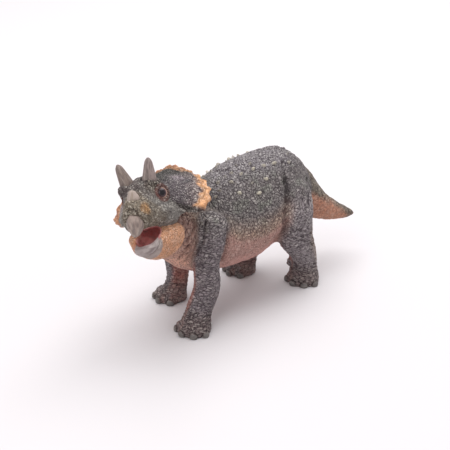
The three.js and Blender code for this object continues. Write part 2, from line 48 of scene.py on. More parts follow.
# Vertices and triangles of a mesh as arrays.
def arraysOf(mesh):
    points = np.empty(len(mesh.vertices) * 3, np.float32)
    mesh.vertices.foreach_get("co", points)
    mesh.calc_loop_triangles()
    faces = np.empty(len(mesh.loop_triangles) * 3, np.int32)
    mesh.loop_triangles.foreach_get("vertices", faces)
    return points.reshape(-1, 3).astype(float), faces.reshape(-1, 3)


# A mesh object from vertices and triangles, shaded smooth.
def objectOf(name, points, faces):
    mesh = bpy.data.meshes.new(name)
    mesh.vertices.add(len(points))
    mesh.vertices.foreach_set("co", points.astype(np.float32).ravel())
    mesh.loops.add(faces.size)
    mesh.loops.foreach_set("vertex_index", faces.astype(np.int32).ravel())
    mesh.polygons.add(len(faces))
    mesh.polygons.foreach_set("loop_start", np.arange(0, faces.size, 3, dtype=np.int32))
    mesh.update(calc_edges=True)
    mesh.shade_smooth()
    made = bpy.data.objects.new(name, mesh)
    bpy.context.scene.collection.objects.link(made)
    return made


# A CAD node's copy with one vertex at each corner.
def nodeArrays(name):
    points, faces = arraysOf(frame["nodes"][name].data)
    corners, index = np.unique(np.round(points, 7), axis=0, return_inverse=True)
    faces = index.reshape(-1)[faces]
    differ = (faces[:, 0] != faces[:, 1]) & (faces[:, 1] != faces[:, 2]) & (faces[:, 2] != faces[:, 0])
    return corners, faces[differ]


# Each vertex's outward direction: the sum of its triangles' normals by area, at length one.
def normalsOf(points, faces):
    a, b, c = (points[faces[:, i]] for i in range(3))
    flat = np.cross(b - a, c - a)
    index = faces.ravel()
    total = np.stack([np.bincount(index, np.repeat(flat[:, i], 3), len(points)) for i in range(3)], axis=1)
    return total / np.maximum(np.linalg.norm(total, axis=1, keepdims=True), 1e-12)


# Edges as pairs of vertex numbers, once each.
def edgesOf(faces):
    pairs = np.sort(np.concatenate([faces[:, [0, 1]], faces[:, [1, 2]], faces[:, [2, 0]]]), axis=1)
    return np.unique(pairs, axis=0)


# Every vertex moves halfway to the mean of its neighbours, by its weight, a number of times.
def smoothed(values, edges, weight, rounds):
    a, b = edges.T
    count = np.bincount(a, minlength=len(values)) + np.bincount(b, minlength=len(values))
    values = values.copy()
    for _ in range(rounds):
        for i in range(values.shape[1]):
            column = values[:, i]
            total = np.bincount(a, column[b], len(values)) + np.bincount(b, column[a], len(values))
            values[:, i] += 0.5 * weight * (total / np.maximum(count, 1) - column)
    return values


# Numbers the connected parts: each vertex takes the lowest number that its edges reach.
def labelled(count, edges):
    a, b = edges.T
    label = np.arange(count)
    settled = False
    while not settled:
        low = np.minimum(label[a], label[b])
        after = label.copy()
        np.minimum.at(after, a, low)
        np.minimum.at(after, b, low)
        after = after[after]
        settled = np.array_equal(after, label)
        label = after
    return label


# The chosen triangles with only their own vertices, and those vertices' old numbers.
def subset(points, faces, chosen):
    used, index = np.unique(faces[chosen], return_inverse=True)
    return points[used], index.reshape(-1, 3), used


# Nodes grown along their normals and melted into one skin of even small facets.
def melted(names, grow, voxel):
    parts = [nodeArrays(name) for name in names]
    starts = np.cumsum([0] + [len(points) for points, _ in parts])
    points = np.concatenate([points + grow * normalsOf(points, faces) for points, faces in parts])
    faces = np.concatenate([faces + start for (_, faces), start in zip(parts, starts)])
    rough = objectOf("rough", points, faces)
    melt = rough.modifiers.new("melt", "REMESH")
    melt.mode = "VOXEL"
    melt.voxel_size = voxel
    even = rough.evaluated_get(bpy.context.evaluated_depsgraph_get())
    points, faces = arraysOf(even.to_mesh())
    bpy.data.objects.remove(rough)
    label = labelled(len(points), edgesOf(faces))
    return subset(points, faces, label[faces[:, 0]] == np.bincount(label).argmax())[:2]


# Noise and scales come from lattices of random numbers, which repeat after this many cells.
lattice = 32


# Value noise: random values on a wrapped lattice, blended smoothly between its points, from -1 to 1.
def noise(points, size, seed):
    table = np.random.default_rng(seed).random((lattice, lattice, lattice))
    cell = np.floor(points / size).astype(int)
    part = points / size - cell
    part = part * part * (3 - 2 * part)
    total = np.zeros(len(points))
    for corner in np.ndindex(2, 2, 2):
        share = np.prod(np.where(corner, part, 1 - part), axis=1)
        total += share * table[tuple(((cell + corner) % lattice).T)]
    return 2 * total - 1


# Scales: a seed is scattered in each lattice cell, and a scale's edge is where the nearest two seeds are
# as far away as each other. Gives 0 on the edges, rising to about 1 in the middle of a scale.
def scales(points, size, seed):
    scatter = np.random.default_rng(seed).random((lattice, lattice, lattice, 3))
    place = points / size
    base = np.floor(place).astype(int)
    first = np.full(len(points), np.inf)
    second = first.copy()
    for offset in np.ndindex(3, 3, 3):
        cell = base + offset - 1
        distance = np.linalg.norm(place - cell - scatter[tuple((cell % lattice).T)], axis=1)
        second = np.minimum(second, np.maximum(first, distance))
        first = np.minimum(first, distance)
    return np.clip(second - first, 0, 1)


# 0 below low and 1 above high, with a smooth climb between.
def ramp(value, low, high):
    t = np.clip((value - low) / (high - low), 0, 1)
    return t * t * (3 - 2 * t)


# 1 at zero, falling smoothly to nothing at about twice the width.
def bell(value, width):
    return np.exp(-((value / width) ** 2))


# Distance from a centre, counted in sizes: one size for every direction, or one along each axis.
def distanceFrom(where, centre, size=1):
    return np.linalg.norm((where - np.array(centre)) / np.array(size), axis=1)


# A bell about a centre, on that distance.
def bump(where, centre, size):
    return bell(distanceFrom(where, centre, size), 1)


# Distance from each point to a line through given stops, in the points' own unit.
def distanceToLine(points, stops):
    stops = np.array(stops, float)
    nearest = np.full(len(points), np.inf)
    for start, end in zip(stops[:-1], stops[1:]):
        along = end - start
        t = np.clip((points - start) @ along / (along @ along), 0, 1)
        nearest = np.minimum(nearest, np.linalg.norm(points - start - t[:, None] * along, axis=1))
    return nearest


# Colours are given as they show on screen, and turned into light.
def light(*shown):
    values = np.array(shown) / 255
    return np.where(values < 0.04045, values / 12.92, ((values + 0.055) / 1.055) ** 2.4)


# The skin: trunk, limbs, tail, head, frill and jaw in one surface.
skinMelt = {"grow": 0.2 * mm, "voxel": 0.34 * mm}
points, faces = melted(skinNodes, **skinMelt)
edges = edgesOf(faces)
print("skin melted:", len(points), "vertices")


# How far every skin vertex lies from a node, measured by a small geometry network.
def distancesTo(skin, target):
    group = bpy.data.node_groups.new("toNode", "GeometryNodeTree")
    group.interface.new_socket("Geometry", in_out="INPUT", socket_type="NodeSocketGeometry")
    group.interface.new_socket("Geometry", in_out="OUTPUT", socket_type="NodeSocketGeometry")
    nodes, links = group.nodes, group.links
    start, end = nodes.new("NodeGroupInput"), nodes.new("NodeGroupOutput")
    info = nodes.new("GeometryNodeObjectInfo")
    info.inputs["Object"].default_value = target
    near = nodes.new("GeometryNodeProximity")
    store = nodes.new("GeometryNodeStoreNamedAttribute")
    store.inputs["Name"].default_value = "away"
    links.new(info.outputs["Geometry"], near.inputs["Geometry"])
    links.new(start.outputs[0], store.inputs["Geometry"])
    links.new(near.outputs["Distance"], store.inputs["Value"])
    links.new(store.outputs["Geometry"], end.inputs[0])
    skin.modifiers.clear()
    skin.modifiers.new("away", "NODES").node_group = group
    result = skin.evaluated_get(bpy.context.evaluated_depsgraph_get()).to_mesh()
    values = np.empty(len(result.vertices), np.float32)
    result.attributes["away"].data.foreach_get("value", values)
    bpy.data.node_groups.remove(group)
    return values.astype(float)


probe = objectOf("probe", points, faces)
away = {name: distancesTo(probe, frame["nodes"][name]) for name in skinNodes}
bpy.data.objects.remove(probe)
print("distances measured")

# The head's own frame: its origin midway between the brow horns, x to its left, y back and z up, in mm.
headPose = {"origin": (3.34, -49.65, 62.7), "lift": -25, "tilt": -19.5, "turn": 27}
headAngles = [math.radians(headPose[key]) for key in ("lift", "tilt", "turn")]
headAxes = np.array(Euler(headAngles, "YXZ").to_matrix())


# Places in metres less the origin, turned into the head's axes.
def toHead(where):
    return (where / mm - headPose["origin"]) @ headAxes


# Places in the head's frame turned out of its axes, plus the origin, in metres.
def fromHead(place):
    return (np.array(place, float) @ headAxes.T + headPose["origin"]) * mm


# How far a vertex belongs to some nodes rather than the others: 0 to 1, over a soft border.
def belonging(*names, soft=1.2 * mm):
    own = np.min([away[name] for name in names], axis=0)
    rest = np.min([away[name] for name in skinNodes if name not in names], axis=0)
    return ramp(rest - own, -soft, soft)


limbs = belonging(*limbNodes, soft=2.5 * mm)
leftLimbs = belonging("leg_front_left", "leg_rear_left")
onHead = belonging("head", "frill", "lower_jaw", soft=0.8 * mm)
onFrill = belonging("frill", soft=0.5 * mm)
onJaw = belonging("lower_jaw", soft=0.4 * mm)
onFace = onHead * (1 - onFrill) * (1 - onJaw)
onTail = belonging("tail")

# Facets melt away: everywhere a little, and most on the trunk, the upper limbs and the tail's root.
x, y, z = (points / mm).T
calm = (1 - onHead) * ramp(z, 8, 15) * (1 - ramp(y, 44, 60))
shoulders = 4 * limbs * (1 - limbs) * ramp(z, 36, 42)
for weight, rounds in ((1, 7), (calm, 80), (onFace, 12), (shoulders, 150)):
    points = smoothed(points, edges, weight, rounds)
normals = normalsOf(points, faces)
head = toHead(points)
x, y, z = (points / mm).T
nx, ny, nz = normals.T
left, back, up = head.T
mirrored = np.column_stack([np.abs(x), y, z])
mirroredHead = np.column_stack([np.abs(left), back, up])
print("skin smoothed")

# Folds: the stops in mm down each groove, its width and its depth. First those before and on the thigh,
# then the knee's, one over the foot, the neck's, and one behind the arm.
bodyFolds = [
    ([(7.4, 20.5, 52.5), (9.7, 18.3, 49.6), (12, 17, 46.4), (14, 15.7, 43.2), (15.6, 14, 40)], 1, 0.8),
    ([(12, 17, 46.4), (15.6, 14, 40), (17, 12.1, 36.8), (17.3, 11.3, 32.9), (15.7, 12.6, 27.8)], 2, 0.9),
    ([(7.4, 24.6, 51), (9.7, 21.7, 48.7), (11.6, 19.8, 46.4), (14.2, 18.2, 42)], 0.5, 0.35),
    ([(7.5, 27.4, 49.4), (10.4, 23.3, 47.1), (13.4, 21.5, 43)], 0.5, 0.3),
    (
        [(8.1, 33.5, 42.4), (13.9, 28.3, 42.1), (16.7, 25.3, 40.4), (18.2, 23.2, 38.1), (19, 20.7, 34.8)],
        0.7,
        0.5,
    ),
    ([(15.9, 22.7, 42.6), (17.6, 20.9, 39.4), (18.5, 18.9, 36.1)], 0.6, 0.35),
    ([(17.7, 14.4, 29.5), (19.3, 17.8, 27.7), (19.2, 24.4, 24.8)], 0.5, 0.6),
    ([(17.7, 14.4, 27.8), (19.4, 19.5, 25.1), (17.1, 28, 20.7)], 0.5, 0.6),
    ([(18, 15.3, 25.5), (19.3, 20.3, 22.6), (17.8, 27.4, 18.5)], 0.5, 0.7),
    ([(18.3, 18, 20.4), (17.9, 26.7, 16.2)], 0.5, 0.6),
    ([(12.8, 23.1, 8.5), (16.1, 24.8, 8.6), (17.1, 29.1, 9.3)], 0.5, 0.7),
    ([(9.8, -28.1, 38.2), (9.6, -32.6, 34.4), (7, -34.3, 29.3)], 0.7, 0.7),
    ([(8, -26.4, 41.5), (11, -29.4, 36), (9.4, -31, 30.5), (6.9, -31.8, 26.4)], 0.8, 0.7),
    ([(12.2, -26.2, 42.8), (13.8, -28.8, 36.9), (13.3, -29.9, 34.2), (11.8, -30.5, 31.1)], 0.6, 0.6),
    ([(13.1, -15.6, 42), (15.2, -17.6, 38.9), (14.9, -18.1, 31.4), (13.2, -19, 24.5)], 0.9, 0.7),
]

# In the head's frame: over the beak, along the snout's side, and behind the eye down to the cheek's point.
faceFolds = [
    (
        [
            (-2.4, -13.9, -12.4),
            (-1.6, -14.4, -11.2),
            (0.3, -14.8, -10.5),
            (2, -14.4, -11.8),
            (2.7, -13.6, -14),
        ],
        0.5,
        0.6,
    ),
    ([(3.1, -12.6, -8.6), (4.6, -9.2, -10), (5.8, -5.6, -12.6)], 0.5, 0.3),
    ([(8.4, 4.2, -3.2), (9.4, 5.6, -6), (10.6, 6.4, -9), (11.8, 7.4, -11.6)], 0.5, 0.4),
]
foldLip = 0.35


# Height of a list of folds: each cuts a bell-shaped groove, and raises a lower bell two widths away.
def foldHeight(where, folds):
    height = np.zeros(len(where))
    for stops, width, depth in folds:
        far = distanceToLine(where, stops)
        height += depth * (foldLip * bell(far - 2 * width, width) - bell(far, width))
    return height


folded = foldHeight(mirrored, bodyFolds) * (1 - onHead)
folded += foldHeight(mirroredHead, faceFolds) * onFace

# Creases run nearly level round the knees, the elbows and the ankles: waves in height, bent by noise.
creaseLook = {"apart": 1.7, "bend": 1.4, "slope": 0.25, "rise": 0.16}
bent = z + creaseLook["bend"] * noise(points, 5 * mm, seed=14) + creaseLook["slope"] * y
knees = bell(z - 22, 5) * ramp(y, 10, 16)
elbows = bell(z - 26, 5) * ramp(-y, 10, 14)
ankles = bell(z - 7, 3)
creases = limbs * (0.8 * knees + 0.48 * elbows + ankles) * np.sin(2 * np.pi * bent / creaseLook["apart"])

# Round the neck they lie in rings about the throat.
neckRings = {"centre": (0, -46, 52), "apart": 2.2, "bend": 1.6, "share": 1.3}
neckSide = ramp(-y, 25, 31) * ramp(z, 28, 34) * (1 - onHead) * (1 - limbs)
ring = distanceFrom(points / mm, neckRings["centre"]) + neckRings["bend"] * noise(points, 4 * mm, seed=17)
creases += neckRings["share"] * neckSide * np.sin(2 * np.pi * ring / neckRings["apart"])

# Scales: rounder on the trunk, drawn out sideways on the limbs, and finer on the belly and the face.
scaleLook = {"trunk": 1.5 * mm, "limbs": 1.4 * mm, "fine": 1.1 * mm, "edge": (0.02, 0.35), "level": 0.7}
stir = np.stack([noise(points, 3 * mm, seed) for seed in (1, 2, 3)], axis=1)
stirred = points + 0.8 * mm * stir
pebbles = ramp(scales(stirred, scaleLook["trunk"], seed=4), *scaleLook["edge"])
drawn = ramp(scales(stirred * (0.5, 0.5, 1.2), scaleLook["limbs"], seed=5), *scaleLook["edge"])
fine = ramp(scales(stirred, scaleLook["fine"], seed=6), *scaleLook["edge"])

# The belly's upper edge, in mm: it climbs towards the shoulder and the thigh, and falls from there back.
bellyTop = 31 + 0.013 * (np.minimum(y, 15) + 3) ** 2 + 3.5 * ramp(-y, 10, 22)
bellyTop -= 0.6 * np.maximum(y - 15, 0)
belly = ramp(bellyTop - z + 1.2 * noise(points, 4 * mm, seed=7), -2.2, 2.2) * (1 - limbs) * (1 - onTail)
relief = pebbles + (drawn - pebbles) * limbs
relief += (fine - relief) * np.maximum(0.6 * belly, onHead)
depth = 0.16 - 0.08 * belly + 0.06 * onHead + 0.1 * neckSide
lumps = 0.22 * noise(points, 5 * mm, seed=9) + 0.12 * noise(points, 2 * mm, seed=23)
height = folded + creaseLook["rise"] * creases + depth * (relief - scaleLook["level"])
height += lumps * (1 - onHead)

# Forms that melted too thin or too full, and how far each rises, in mm, or sinks below zero.
forms = {"tailTop": 1.1, "tailEnd": -0.8, "groin": -2.2}
forms |= {"rightForefoot": -1.2, "rightJaw": 0.9, "rightBrow": -1.1}
formMasks = {
    "tailTop": bell(y - 50, 12) * onTail * ramp(nz, -0.3, 0.5),
    "tailEnd": bell(y - 61, 5) * onTail * ramp(-nz, 0, 0.6),
    "groin": bump(mirrored, (14.4, 9, 24.4), 4.5) * (1 - onHead),
    "rightForefoot": bump(points / mm, (-17.5, -22.5, 6.5), 3.2),
    "rightJaw": onJaw * ramp(-left, 2, 4) * bell(up + 19.2, 2.4),
    "rightBrow": bump(head, (-7.8, -0.3, -5.2), 2.4) * onFace,
}
for name, rise in forms.items():
    height += rise * formMasks[name]

# Low bumps along the spine.
spineLook = {"aside": 0.5, "width": 3.2, "rise": 0.8, "size": 2 * mm}
spine = bell(x - spineLook["aside"], spineLook["width"]) * ramp(nz, 0.6, 0.9)
spine *= (1 - onHead) * (1 - onTail)
spineLumps = noise(points * (0.6, 1, 1), spineLook["size"], seed=15)
height += spine * spineLook["rise"] * ramp(spineLumps, -0.1, 0.6)

# Scutes: flat pale studs on both flanks. Each one's place on the left side, in mm, its size and paleness.
scuteSpots = [
    (3.5, -11.3, 51.7, 0.9, 0.6),
    (6.6, -15.5, 48, 0.9, 0.6),
    (6.1, -6.8, 51.4, 1.15, 0.8),
    (3.7, -4.4, 53.7, 0.85, 0.6),
    (5.9, -1.5, 53.2, 0.95, 0.8),
    (9.9, -6.2, 47.9, 1.15, 1),
    (4.1, 4.9, 55, 0.8, 0.6),
    (6.2, 4.6, 53.6, 1.15, 0.9),
    (6.5, 10.1, 53.6, 1.1, 0.8),
    (6.8, 15.6, 53.2, 1.25, 0.8),
    (7.2, 23.1, 51.5, 1.1, 0.6),
    (10.3, 7.7, 49.8, 1.2, 1),
    (12.6, 1.6, 46.4, 1.15, 1),
    (9.7, 0.6, 50, 0.8, 0.5),
    (2.3, -0.6, 55.2, 0.7, 0.4),
    (5.9, -12.8, 49.6, 0.9, 0.5),
    (4.4, 25.4, 53.7, 0.8, 0.4),
    (3.4, -7.5, 52.9, 0.7, 0.4),
]

# How they are shaped: their half lengths outwards, along and up for a size of 1, how far they slant and
# how many radians on each next one's slant is, how high they rise and how deep the moat round them is, in
# mm. The trunk's right side lies farther out than its left by the last value.
scuteLook = {"halves": (1.3, 1.5, 0.85), "slant": 0.5, "turn": 2.1}
scuteLook |= {"rise": 0.95, "moat": 0.15, "fartherOut": 0.65}


# How far inside its stud a point lies: 1 less the sum of its offsets, each over the stud's half length.
def studs(where):
    inside = np.full(len(where), -1.0)
    pale = np.zeros(len(where))
    for number, (aside, along, above, size, tint) in enumerate(scuteSpots):
        slant = scuteLook["slant"] * math.sin(scuteLook["turn"] * number)
        off = where - (aside, along, above)
        off = np.stack([off[:, 0], off[:, 1] + slant * off[:, 2], off[:, 2] - slant * off[:, 1]], axis=1)
        share = 1 - np.abs(off / (size * np.array(scuteLook["halves"]))).sum(axis=1)
        inside = np.maximum(inside, share)
        pale = np.maximum(pale, tint * ramp(share, -0.12, 0.2))
    return inside, pale


flank = np.where(x < 0, -x - scuteLook["fartherOut"], x)
inside, scutes = studs(np.column_stack([flank, y, z]))
height *= 1 - ramp(inside, -0.1, 0.1)
height += scuteLook["rise"] * ramp(inside, -0.1, 0.75) - scuteLook["moat"] * bell(inside + 0.25, 0.2)

# Knobs over the brows and round the snout, and most on the right.
knobSize = 1.7 * mm
brows = onFace * ramp(up, -8, -3)
muzzle = onFace * ramp(-back, 7, 10)
farSide = onFace * ramp(-left, 4, 6)
height += (0.45 * brows + 0.35 * muzzle + 0.8 * farSide) * noise(points, knobSize, seed=22)

# The frill in rays from under the nape: each ray's angle, and how near to the rim a point lies on it.
# Steps divide the full turn, rays are counted per radian, and the second row's heights are in mm.
frillLook = {"centre": (0, 2, -4), "steps": 60, "rays": 24, "rayLength": 2.2, "knob": 3.2 * mm}
frillLook |= {"ray": 0.14, "rim": 0.25, "hollow": 0.5}


# The angle from straight up towards the left, and the distance from the centre.
def raysOf(place):
    off = place - frillLook["centre"]
    return np.arctan2(off[:, 0], off[:, 2]), np.linalg.norm(off, axis=1)


# How near to the rim: the distance from the centre over the farthest frill corner in that direction.
def rimShare(angle, reach):
    steps = frillLook["steps"]
    rimAngle, rimReach = raysOf(toHead(nodeArrays("frill")[0]))
    farthest = np.zeros(steps)
    step = np.floor((rimAngle / (2 * np.pi) + 0.5) * steps).astype(int) % steps
    np.maximum.at(farthest, step, rimReach)
    middles = ((np.arange(steps) + 0.5) / steps - 0.5) * 2 * np.pi
    known = farthest > 0
    return reach / np.interp(angle, middles[known], farthest[known])


rayAngle, rayReach = raysOf(head)
toRim = rimShare(rayAngle, rayReach)
rayed = np.stack([rayAngle * frillLook["rays"], rayReach / frillLook["rayLength"], 0 * rayReach], axis=1)
ridged = ramp(scales(rayed + 0.4 * stir, 1, seed=10), 0.02, 0.4)
rimFrom = 0.88 + 0.06 * bell(np.abs(rayAngle) - 1.1, 0.2) - 0.05 * ramp(np.abs(rayAngle), 1.5, 1.9)
# Painted shadow: a dark wedge along the frill's low edge, where it hangs over the cheek.
shadedLowEdge = ramp(rayAngle, 1.98, 2.1) * onFrill
nearRim = toRim + 0.05 * noise(points, 1.6 * mm, seed=11)
rim = ramp(nearRim, rimFrom, rimFrom + 0.05) * onFrill
rimPaint = ramp(nearRim, rimFrom - 0.08, rimFrom + 0.02) * onFrill * (1 - shadedLowEdge)
rimTop = ramp(np.cos(rayAngle), 0.3, 0.8)
knobs = ramp(scales(stirred, frillLook["knob"], seed=16), 0.02, 0.4)
relief += (ridged + (knobs - ridged) * rim - relief) * onFrill
rays = frillLook["ray"] * (ridged - 0.7) * (1 - rim)
knobRise = 0.25 + 0.5 * ramp(-left, 2, 6) + 0.3 * rimTop
rimRise = rim * (frillLook["rim"] + knobRise * (knobs - 0.6))
hollow = bump(head, (12, 14.8, -1.4), (4, 4, 2))
height += onFrill * (rays + rimRise - frillLook["hollow"] * hollow)

# Eyes: a raised lid round each socket, and the skin drawn back inside it, so that the ball shows.
# The socket faces outwards by some degrees, and the iris looks farther forwards than that. Back is given
# for each side: 1 for the left, and -1 for the right.
eyes = {"out": 6.4, "back": {1: 1.4, -1: 4.8}, "below": 5.4, "facing": 52, "forwards": 14}
eyes |= {"ball": 2.5, "opening": 1.9, "lid": 2.75, "lidWidth": 0.7, "sunk": 1.2, "lidRise": 0.35}


# How far a point lies along the way that an eye's socket faces, and how far off that line.
def gaze(side):
    facing = math.radians(eyes["facing"])
    look = np.array([side * math.sin(facing), -math.cos(facing), 0])
    off = head - (side * eyes["out"], eyes["back"][side], -eyes["below"])
    along = off @ look
    return along, np.linalg.norm(off - along[:, None] * look, axis=1)


sockets, lids = np.zeros(len(points)), np.zeros(len(points))
for side in (1, -1):
    along, aside = gaze(side)
    ahead = ramp(along, 0, 0.6) * onFace
    sockets = np.maximum(sockets, ramp(eyes["opening"] - aside, -0.25, 0.25) * ahead)
    lids = np.maximum(lids, bell(aside - eyes["lid"], eyes["lidWidth"]) * ahead)
height = height * (1 - sockets) * (1 - 0.6 * lids) - eyes["sunk"] * sockets + eyes["lidRise"] * lids

# The cheek's point on each side, drawn out again after the melting. Its way goes outwards and back.
spike = {"tip": (12.8, 8.4, -13.4), "way": (0.95, 0.31), "reach": 2.2, "rise": 1.3}
nearTip = distanceFrom(mirroredHead, spike["tip"])
pull = spike["rise"] * bell(nearTip, spike["reach"]) * onFace
outwards, backwards = spike["way"]
wayOut = np.column_stack([np.sign(left) * outwards, np.full(len(left), backwards), 0 * left])
points = points + (pull * mm)[:, None] * (wayOut @ headAxes.T)

# Nails: where each sole stands comes from the record, and the toes fan out round its front.
nail = {"reach": 7, "height": 0.7, "size": (1.2, 1, 1.4), "degrees": (-42, 2, 44, 84)}
nail |= {"edge": 1.35, "quick": 1.5, "sunk": 0.3}
nailEdge = np.full(len(points), np.inf)
for mount in frame["record"]["mounts"]:
    sole = np.array(mount["pos_m"]) / mm
    side = 1 if "left" in mount["name"] else -1
    for degrees in nail["degrees"]:
        turn = math.radians(side * degrees)
        ahead = np.array([math.sin(turn), -math.cos(turn), 0])
        off = points / mm - sole - ahead * nail["reach"] - (0, 0, nail["height"])
        local = np.stack([off @ (math.cos(turn), math.sin(turn), 0), off @ ahead, off[:, 2]], axis=1)
        nailEdge = np.minimum(nailEdge, np.linalg.norm(local / nail["size"], axis=1))
nails = ramp(nail["edge"] - nailEdge, 0, 0.12) * limbs
quicks = bell(nailEdge - nail["quick"], 0.14) * limbs
height = height * (1 - nails) - nail["sunk"] * quicks

points = points + normals * (height * mm)[:, None]
points[:, 2] = np.maximum(points[:, 2], 0)
print("skin sculpted")


# Paint: each coat covers what is under it as far as its mask says.
def coat(under, colour, mask):
    return under + (light(*colour) - under) * np.reshape(mask, (-1, 1))


# Lays coats in order. Each has a colour and the most that it covers, and a mask by the same name.
def coated(under, coats, masks):
    for name, (colour, cover) in coats.items():
        under = coat(under, colour, cover * masks[name])
    return under


# The hide, from the back down to the belly and the feet, and the tail.
cloud = noise(points, 7 * mm, seed=12)
blotch = noise(points, 2.5 * mm, seed=13)
inner = leftLimbs * ramp(-nx, -0.05, 0.4) + (1 - leftLimbs) * ramp(nx, 0.1, 0.6)
lowLimbs = limbs * ramp(46 - z, 0, 14)
chest = bump(points / mm, (5, -34, 26), 7) * (1 - onHead) * (1 - limbs)
tailEdge = 34.5 - 0.62 * (y - 37) - 1.4 * ramp(y, 46, 60) + 0.9 * blotch
underTail = onTail * ramp(tailEdge - z, -2, 2) * ramp(65 - y, 0, 9)
hideCoats = {
    "base": ((134, 126, 125), 1),
    "blotch": ((136, 136, 127), 0.7),
    # Painted light: a paler grey along the top of the back, where light falls from above.
    "back": ((158, 151, 154), 1),
    "limbs": ((146, 134, 138), 0.9),
    "rearLimbs": ((170, 160, 162), 0.9),
    "bellyEdge": ((198, 165, 144), 0.8),
    "belly": ((186, 143, 132), 1),
    # The belly's own pale tone, made paler low down as painted light thrown up from the floor.
    "litUnderBelly": ((220, 164, 153), 1),
    "neckSide": ((176, 142, 130), 0.8),
    "chest": ((255, 200, 176), 1),
    # Painted light: a warm tan on the lit rear of the lower hind legs.
    "litHock": ((178, 152, 132), 0.7),
    "inner": ((170, 108, 96), 0.9),
    "feet": ((130, 112, 109), 0.8),
    "tail": ((140, 126, 106), 0.8),
    "underTail": ((202, 143, 115), 1),
}
hideMasks = {
    "base": 1,
    "blotch": ramp(blotch, 0, 0.8),
    # Painted light on the top of the back.
    "back": ramp(z + 3 * cloud, 46, 56) * (1 - limbs),
    "limbs": lowLimbs,
    "rearLimbs": lowLimbs * ramp(y, -4, 4),
    "bellyEdge": ramp(bellyTop + 5 - z + cloud, -4, 4) * (1 - limbs) * (1 - onTail),
    "belly": belly,
    "litUnderBelly": belly * ramp(24 - z, -2, 4),
    "neckSide": neckSide,
    "chest": chest,
    "litHock": limbs * ramp(y, 10, 16) * ramp(ny, 0, 0.7) * ramp(z, 6, 12) * (1 - ramp(z, 24, 30)),
    "inner": inner * limbs * ramp(30 - z, -4, 6),
    "feet": ramp(9 - z, -2, 4) * limbs,
    "tail": onTail * ramp(y, 30, 40),
    "underTail": underTail * ramp(y, 31, 34),
}
paint = coated(np.zeros((len(points), 3)), hideCoats, hideMasks)
print("hide painted")

# The mouth: a lining inside a rounded space, and a tongue in it, painted pale pink up to a painted
# highlight.
mouth = {"centre": (0, -0.4, -20.6), "size": (4.9, 9.6, 5.6)}
litTongue = {"centre": (-3.2, 4.4, -20.6), "size": (3.2, 4, 1.7)}
inMouth = ramp(1.08 - distanceFrom(head, **mouth), 0, 0.06) * onHead * ramp(left, -4.6, -4)
onTongue = ramp(1.15 - distanceFrom(head, **litTongue), 0, 0.6) * inMouth

# The head: grey over the brows, olive and orange on the snout, the frill's face, a painted highlight and a
# painted shadow on its hollow, and its rim, the jaw and the mouth, and then the scutes and the nails.
temple = bump(head, (6, -2.5, -2.5), 3) + 0.7 * bump(head, (9.5, 3, -3), 3)
snout = onFace * ramp(-back - 0.6 * up + 2 * blotch, 9, 14)
orange = ramp(3.2 - distanceFrom(head, (4.4, -10.6, -11.2)) + 0.6 * blotch, 0, 1.6)
# The frill's hollow: a painted highlight, pale lilac, on its lit side, and a painted shadow above it.
pale = bump(head, (8.8, 15.9, 0.6), (4, 4, 1.7)) * onFrill
hollowShadow = bump(head, (12.6, 16.3, -0.6), (2.2, 4, 1.4)) * onFrill
rimFar = ramp(-left, 4, 7)
# Painted shade in the gaps between the rim's knobs, most on its top and its far side.
rimPitShade = rim * ramp(0.4 - knobs, -0.3, 0.3) * (0.25 + 0.5 * np.maximum(rimTop, rimFar))
chin = onJaw * ramp(1.4 - back - 0.8 * left, 0, 0.8) * ramp(-up, 18.5, 20) * ramp(left, -3.8, -2.8)
headCoats = {
    "skull": ((98, 86, 84), 1),
    "cheeks": ((152, 147, 140), 0.8),
    "blotches": ((96, 90, 88), 0.7),
    "temple": ((146, 134, 114), 0.6),
    "snout": ((134, 118, 97), 0.8),
    "snoutPits": ((92, 82, 70), 0.5),
    "orange": ((200, 150, 96), 0.7),
    "frill": ((146, 134, 138), 1),
    "frillEdge": ((190, 170, 164), 0.8),
    "crown": ((74, 70, 66), 0.9),
    # The hollow's painted highlight and painted shadow.
    "pale": ((190, 176, 182), 0.9),
    "hollowShadow": ((70, 66, 76), 0.85),
    "rim": ((240, 178, 126), 1),
    "rimTop": ((176, 120, 84), 0.8),
    "rimFar": ((170, 112, 80), 0.8),
    "rimPitShade": ((150, 94, 66), 1),
    "rimLight": ((214, 176, 142), 0.5),
    "shadedLowEdge": ((88, 76, 70), 0.9),
    "jaw": ((236, 174, 134), 1),
    "chin": ((150, 135, 131), 1),
    "lids": ((96, 56, 50), 1),
    "cheekPoints": ((214, 202, 190), 0.8),
    "mouth": ((198, 124, 122), 1),
    "litTongue": ((255, 186, 180), 1),
    "scutes": ((192, 184, 166), 1),
    "nails": ((98, 92, 90), 1),
    "quicks": ((60, 50, 48), 0.7),
}
headMasks = {
    "skull": onHead,
    "cheeks": onFace * ramp(-up, 4, 9),
    "blotches": onFace * ramp(blotch, 0.1, 0.8),
    "temple": onFace * np.minimum(temple, 1),
    "snout": snout,
    "snoutPits": snout * ramp(-noise(points, knobSize, seed=22), 0.1, 0.6),
    "orange": orange * onFace,
    "frill": onFrill,
    "frillEdge": onFrill * ramp(toRim, 0.55, 0.85) * (1 - shadedLowEdge),
    "crown": onFrill * ramp(np.cos(rayAngle), 0.2, 0.7),
    "pale": pale,
    "hollowShadow": hollowShadow,
    "rim": rimPaint,
    "rimTop": rimPaint * ramp(np.cos(rayAngle), 0.3, 0.9),
    "rimFar": rimPaint * rimFar,
    "rimPitShade": rimPitShade,
    "rimLight": rim * ramp(blotch, 0.2, 0.9),
    "shadedLowEdge": shadedLowEdge,
    "jaw": onJaw,
    "chin": chin,
    "lids": ramp(lids, 0.1, 0.5),
    "cheekPoints": bell(nearTip, 1.7) * onFace,
    "mouth": inMouth,
    "litTongue": onTongue,
    "scutes": scutes,
    "nails": nails,
    "quicks": quicks,
}
paint = coated(paint, headCoats, headMasks)

